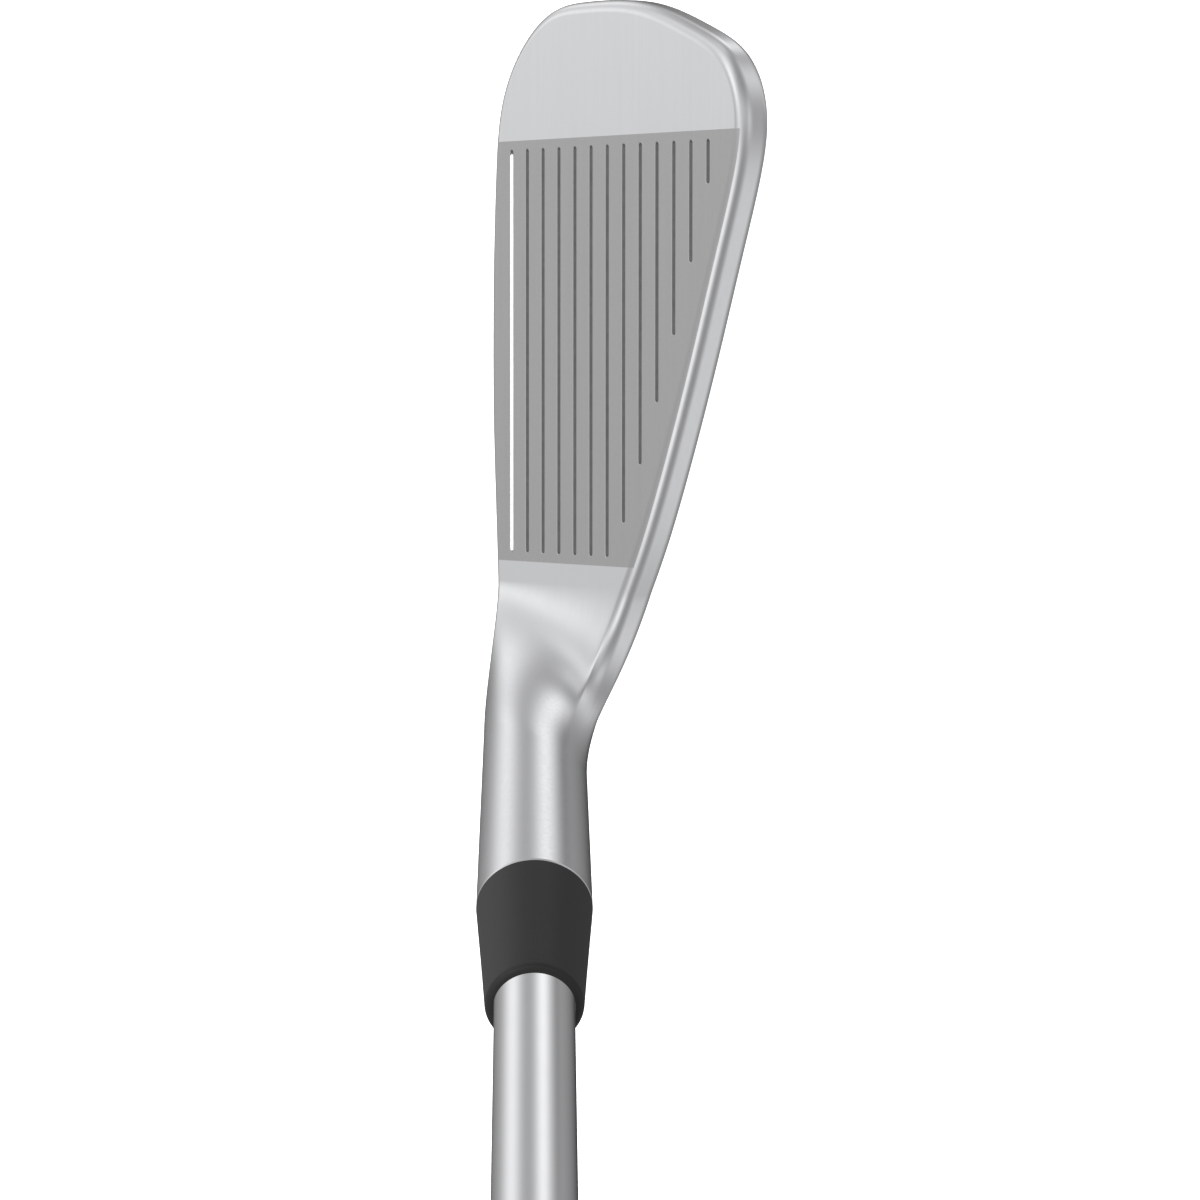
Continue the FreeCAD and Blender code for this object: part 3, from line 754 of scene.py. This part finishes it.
# Grip: a tapered sleeve with a lip at its mouth and rows of moulded lozenges between plain rings.
GRIP_MOUTH, GRIP_MID, CAP_BASE, CAP_END = 672.0, 885.0, 936.0, 940.0
GRIP_BORE = BUTT_RADIUS + 0.15
LOZENGES_ROUND, LOZENGE_PITCH, LOZENGE_SINK = 20, 5.2, 0.32
RING_SINK, RING_HALF = 0.45, 0.7
GRIP_RINGS = (692.0, 695.0, 698.0, 800.0, 803.0, 922.0, 925.0)
PATTERN_FIELDS, FIELD_FADE = ((702.0, 796.0), (807.0, 918.0)), 1.5
MOUTH_RADIUS, MOUTH_LIP, LIP_ROLL = 8.5, 5.0, 0.4


def grip_relief(height, turns):
    """Depth of the grip's moulded pattern: crossing grooves in two fields, and plain rings."""
    across = np.radians(turns) * LOZENGES_ROUND / 2
    along_grip = height * math.pi / LOZENGE_PITCH
    lines = np.abs(np.sin(along_grip + across) * np.sin(along_grip - across))
    crossing = 1 - smoothstep(lines / 0.42)
    field = sum(smoothstep((height - low) / FIELD_FADE) * smoothstep((high - height) / FIELD_FADE)
                for low, high in PATTERN_FIELDS)
    rings = sum(1 - smoothstep(np.abs(height - at) / RING_HALF) for at in GRIP_RINGS)
    skin_side = (height > GRIP_MOUTH + 6.5) & (height < CAP_BASE - 1.5)
    return np.where(skin_side, LOZENGE_SINK * crossing * field + RING_SINK * rings, 0.0)


def grip_piece(name, material, segments=180, pitch=0.65):
    """The sleeve's outer skin carries the pattern; its normals come from the shape itself."""
    lip_end = GRIP_MOUTH + MOUTH_LIP
    heights = np.concatenate([[lip_end + 1.0], np.arange(lip_end + 1.6, CAP_BASE, pitch), [CAP_BASE]])
    plain = np.interp(heights, [lip_end + 1.0, GRIP_MID, CAP_BASE], [8.4, 11.45, 13.25])
    mouth = [(GRIP_MOUTH, GRIP_BORE), (GRIP_MOUTH, MOUTH_RADIUS),
             *corner_roll(GRIP_MOUTH + LIP_ROLL, MOUTH_RADIUS, LIP_ROLL, -90, 0, 5)[1:],
             *corner_roll(lip_end - LIP_ROLL, MOUTH_RADIUS, LIP_ROLL, 0, 70, 5)]
    section = np.array(mouth + list(zip(heights, plain)) + [(CAP_BASE, GRIP_BORE)])
    turns = np.arange(segments) * 360.0 / segments
    radii = np.repeat(section[:, 1:], segments, 1)
    hidden = np.abs(section[:, 1] - GRIP_BORE) < 1e-9
    sunk = np.where(hidden[:, None], 0.0, grip_relief(section[:, :1], turns[None]))
    points = around(section[:, :1], turns[None], radii - sunk)
    outer = points[2:-1]
    skin = Skin()
    normals = grid_normals(outer, closed=True)
    if np.sum(normals[40] * outward_at(turns)) < 0:
        normals = -normals
    skin.grid(outer, normals, closed=True)
    down = np.tile(-AXIS, (segments, 1))
    skin.grid(np.stack([points[0], points[1], points[2]]), np.stack([down] * 3), closed=True)
    skin.grid(np.stack([points[-2], points[-1]]), np.stack([-down] * 2), closed=True)
    inner = -outward_at(turns)
    skin.grid(np.stack([points[-1], points[0]]), np.stack([inner] * 2), closed=True)
    return skin.make(name, [material])


adopt(grip_piece("moulded_grip", grip_rubber), "grip_sleeve")

# Butt cap: rounded edge, shallow dome with two rings and the vent hole.
adopt(turned_piece("grip_cap_moulding", [
    (SHAFT_BUTT, 2.0), (SHAFT_BUTT, GRIP_BORE), (CAP_BASE, GRIP_BORE), (CAP_BASE, 13.17),
    *corner_roll(CAP_BASE + 0.2, 13.17, 0.2, -90, 0, 4)[1:],
    *corner_roll(937.9, 11.7, 1.5, 0, 78, 8), (939.55, 10.6), (939.3, 10.3), (939.3, 9.7), (939.62, 9.4),
    (939.8, 6.4), (939.5, 6.1), (939.5, 5.6), (939.88, 5.3), (CAP_END, 2.6), (939.9, 2.2), (939.6, 2.0),
], cap_rubber, 120), "grip_cap")


# Paint in the lowest score line: a strip with round ends just below the face.
def strip(name, x0, x1, half, top, bottom, material, steps=10):
    loop = stadium(x0, x1, 0.0, half, steps)
    inner = stadium(x0, x1, 0.0, half - 0.03, steps)
    skin = Skin()
    upper, low = on_face(inner[:, 0], inner[:, 1], top), on_face(loop[:, 0], loop[:, 1], top + 0.02)
    foot = on_face(loop[:, 0], loop[:, 1], bottom)
    side = unit(on_face(loop[:, 0], loop[:, 1]) - on_face(np.clip(loop[:, 0], x0, x1), 0.0))
    skin.flat(upper, -FACE_IN)
    slant = unit(side - FACE_IN)
    skin.grid(np.stack([upper, low]), np.stack([slant, slant]), closed=True)
    skin.grid(np.stack([low, foot]), np.stack([side, side]), closed=True)
    skin.flat(foot, FACE_IN)
    return skin.make(name, [material])


adopt(strip("painted_score_line", GROOVE_TOE + 0.95, GROOVE_HEELS[0] - 0.55, 0.34, 0.02, 0.4, white_paint),
      "leading_groove_paint")

# Damper and badge on the cavity floor.
BADGE = [
    (16.6, 14.4), (20.6, 17.2), (19.4, 21.4), (8.0, 23.4), (-12.0, 23.4), (-20.0, 20.8), (-18.4, 15.6),
    (-13.4, 14.4),
]
DAMPER_TOP, BADGE_TOP = 4.1, 4.7


def slab(name, outline, bottom, top, roll, material, grooves=()):
    """A plate on the cavity floor with a rolled upper edge and shallow stepped frames pressed in its top."""
    loop = spline(outline, 200, closed=True)
    run = unit(slopes(loop, 0, closed=True))
    inward = np.stack([run[:, 1], -run[:, 0]], 1)
    if np.dot(inward[0], loop.mean(0) - loop[0]) < 0:
        inward = -inward
    a = np.linspace(0, math.pi / 2, 6)
    offsets = [(0.0, bottom)] + [(roll * (1 - math.cos(t)), top - roll + roll * math.sin(t)) for t in a]
    for start, sink in grooves:
        offsets += [(start, top), (start + 0.08, top - sink), (start + 0.4, top - sink), (start + 0.48, top)]
    rows = np.stack([on_face(*(loop + inward * i).T, deep) for i, deep in offsets])
    skin = Skin()
    normals = grid_normals(rows, closed=True)
    if normals[len(a), 0] @ FACE_IN < 0:
        normals = -normals
    side = on_face(*loop.T) - on_face(*(loop + inward).T)
    normals[0] = side
    normals[-1] = FACE_IN
    skin.grid(rows, normals, closed=True)
    skin.flat(rows[-1], FACE_IN)
    skin.flat(rows[0], -FACE_IN)
    return skin.make(name, [material])


adopt(slab("cavity_damper_pad", BADGE, CAVITY_FLOOR, DAMPER_TOP, 0.15, damper_rubber),
      "cavity_damper")
adopt(slab("cavity_badge_plate", BADGE, DAMPER_TOP, BADGE_TOP, 0.2, badge_metal, ((0.9, 0.12), (2.2, 0.12))),
      "cavity_badge")

# Toe weight: a plug seated on the muscle, with a bevelled edge and a socket for its driver.
seat_at = np.array([-30.2, 0.0, 13.4])
spread_points = back_points.reshape(-1, 3)
distance = np.linalg.norm((spread_points - seat_at)[:, [0, 2]], axis=1)
near = np.argsort(distance)[:14]
seat = spread_points[near].mean(0)
seat_out = unit(back_normals.reshape(-1, 3)[near].mean(0))
WEIGHT_RADIUS, WEIGHT_PROUD, WEIGHT_DEPTH = 3.8, 0.35, 5.0


def weight_piece(name, material, segments=96):
    across_a = unit(np.cross(seat_out, AXIS))
    across_b = np.cross(seat_out, across_a)
    t = np.arange(segments) * 2 * math.pi / segments
    ring_out = across_a * np.cos(t)[:, None] + across_b * np.sin(t)[:, None]
    hexagon = 1.9 * math.cos(math.pi / 6) / np.cos((t + math.pi / 6) % (math.pi / 3) - math.pi / 6)

    def row(height, radius):
        radii = np.broadcast_to(np.asarray(radius, float), t.shape)[:, None]
        return seat + seat_out * height + ring_out * radii

    top = WEIGHT_PROUD
    rows = [(-WEIGHT_DEPTH, WEIGHT_RADIUS), (top - 0.3, WEIGHT_RADIUS), (top, WEIGHT_RADIUS - 0.3),
            (top, 2.9), (top - 0.15, 2.75),
            (top - 0.15, 2.45), (top, 2.3), (top, hexagon + 0.12), (top - 0.12, hexagon),
            (top - 2.2, hexagon)]
    skin = Skin()
    for (h0, r0), (h1, r1) in zip(rows, rows[1:]):
        low, high = row(h0, r0), row(h1, r1)
        rise, run = h1 - h0, float(np.mean(np.asarray(r1) - np.asarray(r0)))
        face_out = unit(ring_out * rise - seat_out * run)
        skin.grid(np.stack([low, high]), np.stack([face_out, face_out]), closed=True)
    skin.flat(row(*rows[-1]), seat_out)
    skin.flat(row(*rows[0]), -seat_out)
    return skin.make(name, [material])


adopt(weight_piece("toe_weight_plug", tungsten), "toe_weight")

adopt(head.make("club_head_forging", [forged, groove_painted_shade]), "club_head")


# ---- stage, light and camera -----------------------------------------------------------------
def stage_piece(name, shape, glow):
    """Pale piece of the set, lit from within, which only the camera sees."""
    mesh = bpy.data.meshes.new(name)
    shape.to_mesh(mesh)
    shape.free()
    material, _, shader = finish(name)
    shader.inputs["Base Color"].default_value = (0.9, 0.9, 0.9, 1)
    shader.inputs["Roughness"].default_value = 1.0
    shader.inputs["Specular IOR Level"].default_value = 0.0
    shader.inputs["Emission Color"].default_value = (1, 1, 1, 1)
    shader.inputs["Emission Strength"].default_value = glow
    mesh.materials.append(material)
    piece = bpy.data.objects.new(name, mesh)
    bpy.context.scene.collection.objects.link(piece)
    for flag in ("visible_glossy", "visible_diffuse", "visible_shadow", "visible_transmission"):
        setattr(piece, flag, False)
    return piece


STAGE_RADIUS, FLOOR_DROP = 14.0, 0.00005
disc = bmesh.new()
bmesh.ops.create_circle(disc, cap_ends=True, segments=96, radius=STAGE_RADIUS)
bmesh.ops.translate(disc, verts=disc.verts, vec=(0, 0, -FLOOR_DROP))
floor = stage_piece("pale_floor", disc, 0.95)
dome = bmesh.new()
bmesh.ops.create_icosphere(dome, subdivisions=4, radius=STAGE_RADIUS)
bmesh.ops.reverse_faces(dome, faces=dome.faces)
backdrop = stage_piece("pale_backdrop", dome, 1.05)
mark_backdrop(floor, backdrop)

world = bpy.data.worlds.new("studio")
bpy.context.scene.world = world
world.use_nodes = True
sky = world.node_tree
background = sky.nodes["Background"]
look = sky.nodes.new("ShaderNodeTexCoord").outputs["Generated"]


def softbox(direction, spread, brightness):
    """Soft patch of light: brightness falls off with the angle from its direction."""
    aim = Vector(direction).normalized()
    facing = vector_maths(sky, "DOT_PRODUCT", look, tuple(aim))
    falloff = maths(sky, "EXPONENT", maths(sky, "MULTIPLY", maths(sky, "SUBTRACT", facing, 1.0),
                                           1.0 / (1.0 - math.cos(math.radians(spread)))))
    return maths(sky, "MULTIPLY", falloff, brightness)


# Direction, spread in degrees and brightness of each soft patch; a negative one is a dark flag.
SOFTBOXES = [
    ((-0.27, -0.84, -0.47), 17, 0.72),
    ((0.0, -0.9, -0.3), 32, 0.26),
    ((0.50, -0.56, 0.66), 19, 0.95),
    ((-0.10, -0.76, 0.62), 24, 0.65),
    ((-0.72, -0.64, 0.20), 24, 0.70),
    ((-0.589, -0.415, -0.693), 14, 0.88),
    ((-0.793, 0.19, -0.587), 12, 1.08),
    ((-0.571, 0.424, -0.703), 5.5, -0.22),
    ((0.62, 0.755, 0.204), 24, 0.55),
    ((-0.73, 0.67, 0.07), 24, 0.55),
    ((0.0, 0.1, -1.0), 24, -0.36),
    ((-0.09, 0.59, 0.80), 24, 0.45),
    ((-0.21, -0.17, 0.96), 22, 0.30),
    ((-0.70, -0.68, -0.27), 12, 0.34),
    ((-0.95, -0.22, -0.16), 14, 0.40),
    ((-0.38, 0.85, -0.35), 18, 0.30),
    ((-0.40, -0.86, 0.30), 15, 0.60),
]
AMBIENT, LEAST_LIGHT = 0.38, 0.02
total = AMBIENT
for box in SOFTBOXES:
    total = maths(sky, "ADD", softbox(*box), total)
link(sky, maths(sky, "MAXIMUM", total, LEAST_LIGHT), background.inputs["Strength"])
background.inputs["Color"].default_value = (1.0, 1.0, 1.0, 1)

key_data = bpy.data.lights.new("soft_key", "SUN")
key_data.energy = 2.4
key_data.angle = math.radians(50)
key = bpy.data.objects.new("soft_key", key_data)
bpy.context.scene.collection.objects.link(key)
key.rotation_mode = "QUATERNION"
key.rotation_quaternion = Vector((-0.25, -0.65, 0.72)).to_track_quat("Z", "Y")
key.visible_glossy = False

CAMERA_HEIGHT, CAMERA_AIM = 0.696, (0.04548, 0.011821, -1.0)
camera_data = bpy.data.cameras.new("camera")
camera_data.lens = 166.4
camera_data.sensor_width = 36.0
camera = bpy.data.objects.new("camera", camera_data)
bpy.context.scene.collection.objects.link(camera)
back = -Vector(CAMERA_AIM).normalized()
right = (Vector((0, 1, 0)) - back * back.y).normalized()
up = back.cross(right)
turned = Matrix((right, up, back)).transposed().to_4x4()
camera.matrix_world = Matrix.Translation((0, 0, CAMERA_HEIGHT)) @ turned
bpy.context.scene.camera = camera
bpy.context.scene.view_settings.view_transform = "Standard"

# The pieces hidden inside keep their CAD shape. No piece mirrors another: metal reflects the soft patches.
for name, material in (("hosel_epoxy", epoxy), ("tip_weight", brass), ("grip_tape", tape_paper)):
    nodes[name].data.materials.clear()
    nodes[name].data.materials.append(material)
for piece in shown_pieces():
    piece.visible_glossy = False
